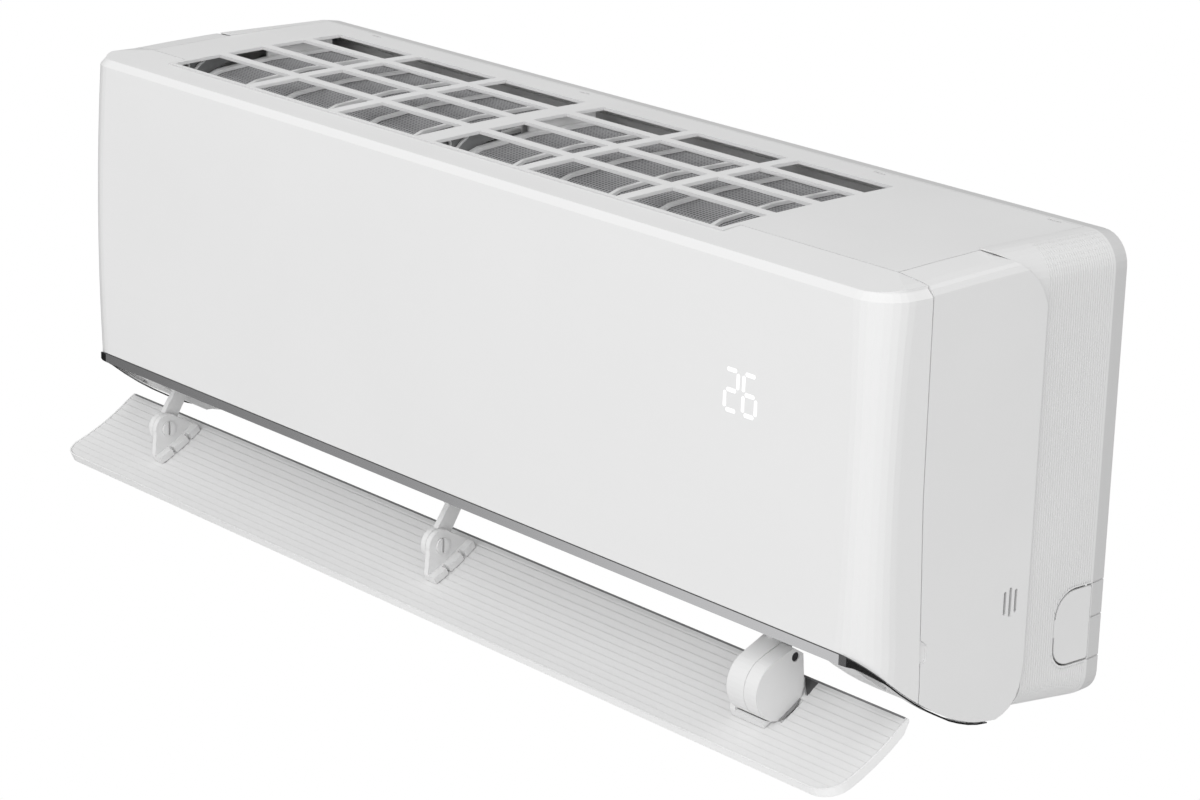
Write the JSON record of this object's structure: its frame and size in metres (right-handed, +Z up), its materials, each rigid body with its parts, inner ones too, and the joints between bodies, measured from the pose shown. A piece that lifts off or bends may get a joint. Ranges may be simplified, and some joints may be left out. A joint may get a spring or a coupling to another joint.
{
  "type": "mini split indoor unit",
  "caption": "Wall-hung indoor unit of a split air conditioner with a top intake grille, a plain front panel and a full-width air deflector on swinging arms.",
  "frame": {"origin": "Centre of the mounting plate's wall side, at half the height of the cabinet.", "axes": "+X to the right of someone facing the unit, +Y into the wall, +Z up."},
  "size_m": [0.87, 0.2521, 0.3312],
  "materials": {
    "gloss_white": "smooth white moulding",
    "case_white": "white moulding, fine texture",
    "ribbed_white": "white moulding with fine upright ribs at the sides",
    "duct_white": "white moulding",
    "chrome_strip": "bright plated strip",
    "filter_white": "white moulding",
    "filter_grey": "grey woven mesh",
    "fan_grey": "dark grey moulding",
    "aluminium": "thin bright fins",
    "copper": "copper tube",
    "brass": "turned brass",
    "steel": "plain steel",
    "zinc_steel": "zinc plated sheet",
    "board": "green circuit board",
    "dark_plastic": "dark moulding",
    "rubber": "black rubber"
  },
  "bodies": {
    "case": {"mounting_plate": "zinc_steel", "rear_case": "ribbed_white", "front_case": "case_white", "side_cap_right": "case_white", "side_cap_left": "case_white", "knockout_cover_right": "ribbed_white", "knockout_cover_left": "ribbed_white", "chrome_trim": "chrome_strip", "outlet_duct": "duct_white", "drain_pan": "duct_white", "evaporator_lower": "aluminium", "evaporator_upper": "aluminium", "evaporator_rear": "aluminium", "tube_sheet_left": "copper", "tube_sheet_right": "copper", "gas_pipe": "copper", "liquid_pipe": "copper", "gas_flare_nut": "brass", "liquid_flare_nut": "brass", "fan_motor": "zinc_steel", "motor_clamp": "duct_white", "fan_bearing": "rubber", "electric_box": "dark_plastic", "electric_box_cover": "zinc_steel", "control_board": "board", "terminal_block": "dark_plastic", "display_board": "board", "arm_motor": "zinc_steel"},
    "panel": {"front_panel": "gloss_white"},
    "fan": {"cross_flow_fan": "fan_grey", "fan_shaft": "steel"},
    "filter_left": {"filter_frame_left": "filter_white", "filter_mesh_left": "filter_grey"},
    "filter_right": {"filter_frame_right": "filter_white", "filter_mesh_right": "filter_grey"},
    "deflector_arms": {"arm_shaft": "steel", "deflector_arm_left": "case_white", "deflector_arm_middle": "case_white", "tilt_housing": "case_white", "tilt_housing_cover": "case_white", "tilt_housing_screw": "zinc_steel"},
    "tilt_drive": {"tilt_drive": "steel", "tilt_motor": "steel"},
    "deflector": {"deflector_skin": "gloss_white", "deflector_liner": "case_white", "deflector_ear_left": "case_white", "deflector_ear_middle": "case_white", "deflector_ear_right": "case_white"},
    "button": {"manual_button": "case_white"},
    "vane_link_left": {"vane_link_left": "duct_white"},
    "vane_link_right": {"vane_link_right": "duct_white"},
    "vane_left_1": {"vane_left_1": "duct_white"},
    "vane_left_2": {"vane_left_2": "duct_white"},
    "vane_left_3": {"vane_left_3": "duct_white"},
    "vane_left_4": {"vane_left_4": "duct_white"},
    "vane_right_1": {"vane_right_1": "duct_white"},
    "vane_right_2": {"vane_right_2": "duct_white"},
    "vane_right_3": {"vane_right_3": "duct_white"}
  },
  "joints": [
    {"name": "deflector_swing", "type": "hinge", "parent": "case", "child": "deflector_arms", "pos_m": [0, -0.2122, -0.0897], "axis": [-1, 0, 0], "range_deg": [-64.2, 0]},
    {"name": "deflector_fold", "type": "hinge", "parent": "deflector_arms", "child": "tilt_drive", "pos_m": [0, -0.215, -0.1345], "axis": [-1, 0, 0], "range_deg": [0, 124.5]},
    {"name": "deflector_tilt", "type": "hinge", "parent": "tilt_drive", "child": "deflector", "pos_m": [0, -0.215, -0.1345], "axis": [-1, 0, 0], "range_deg": [0, 32]},
    {"name": "panel_hinge", "type": "hinge", "parent": "case", "child": "panel", "pos_m": [0, -0.1844, 0.1495], "axis": [-1, 0, 0], "range_deg": [0, 60]},
    {"name": "fan_spin", "type": "hinge", "parent": "case", "child": "fan", "pos_m": [0, -0.107, -0.0205], "axis": [1, 0, 0], "continuous": true},
    {"name": "filter_left_slide", "type": "slide", "parent": "case", "child": "filter_left", "axis": [0, -1, 0], "range_m": [0, 0.012]},
    {"name": "filter_right_slide", "type": "slide", "parent": "case", "child": "filter_right", "axis": [0, -1, 0], "range_m": [0, 0.012]},
    {"name": "button_press", "type": "slide", "parent": "case", "child": "button", "axis": [0, 1, 0], "range_m": [0, 0.0012], "stiffness_N_per_m": 400, "springref_m": -0.0015},
    {"name": "vane_link_left_slide", "type": "slide", "parent": "case", "child": "vane_link_left", "axis": [1, 0, 0], "range_m": [-0.0066, 0.0066]},
    {"name": "vane_left_1_turn", "type": "hinge", "parent": "case", "child": "vane_left_1", "pos_m": [-0.3, -0.0985, -0.1209], "axis": [0, -0.7242, 0.6896], "range_deg": [-30.3, 30.3]},
    {"name": "vane_left_2_turn", "type": "hinge", "parent": "case", "child": "vane_left_2", "pos_m": [-0.22, -0.0985, -0.1209], "axis": [0, -0.7242, 0.6896], "range_deg": [-30.3, 30.3]},
    {"name": "vane_left_3_turn", "type": "hinge", "parent": "case", "child": "vane_left_3", "pos_m": [-0.14, -0.0985, -0.1209], "axis": [0, -0.7242, 0.6896], "range_deg": [-30.3, 30.3]},
    {"name": "vane_left_4_turn", "type": "hinge", "parent": "case", "child": "vane_left_4", "pos_m": [-0.06, -0.0985, -0.1209], "axis": [0, -0.7242, 0.6896], "range_deg": [-30.3, 30.3]},
    {"name": "vane_link_right_slide", "type": "slide", "parent": "case", "child": "vane_link_right", "axis": [1, 0, 0], "range_m": [-0.0066, 0.0066]},
    {"name": "vane_right_1_turn", "type": "hinge", "parent": "case", "child": "vane_right_1", "pos_m": [0.06, -0.0985, -0.1209], "axis": [0, -0.7242, 0.6896], "range_deg": [-30.3, 30.3]},
    {"name": "vane_right_2_turn", "type": "hinge", "parent": "case", "child": "vane_right_2", "pos_m": [0.14, -0.0985, -0.1209], "axis": [0, -0.7242, 0.6896], "range_deg": [-30.3, 30.3]},
    {"name": "vane_right_3_turn", "type": "hinge", "parent": "case", "child": "vane_right_3", "pos_m": [0.22, -0.0985, -0.1209], "axis": [0, -0.7242, 0.6896], "range_deg": [-30.3, 30.3]}
  ],
  "couplings": [
    {"joint": "deflector_fold", "follows": "deflector_swing", "ratio": -1.9388},
    {"joint": "vane_left_1_turn", "follows": "vane_link_left_slide", "rad_per_m": -79.365},
    {"joint": "vane_left_2_turn", "follows": "vane_link_left_slide", "rad_per_m": -79.365},
    {"joint": "vane_left_3_turn", "follows": "vane_link_left_slide", "rad_per_m": -79.365},
    {"joint": "vane_left_4_turn", "follows": "vane_link_left_slide", "rad_per_m": -79.365},
    {"joint": "vane_right_1_turn", "follows": "vane_link_right_slide", "rad_per_m": -79.365},
    {"joint": "vane_right_2_turn", "follows": "vane_link_right_slide", "rad_per_m": -79.365},
    {"joint": "vane_right_3_turn", "follows": "vane_link_right_slide", "rad_per_m": -79.365}
  ]
}
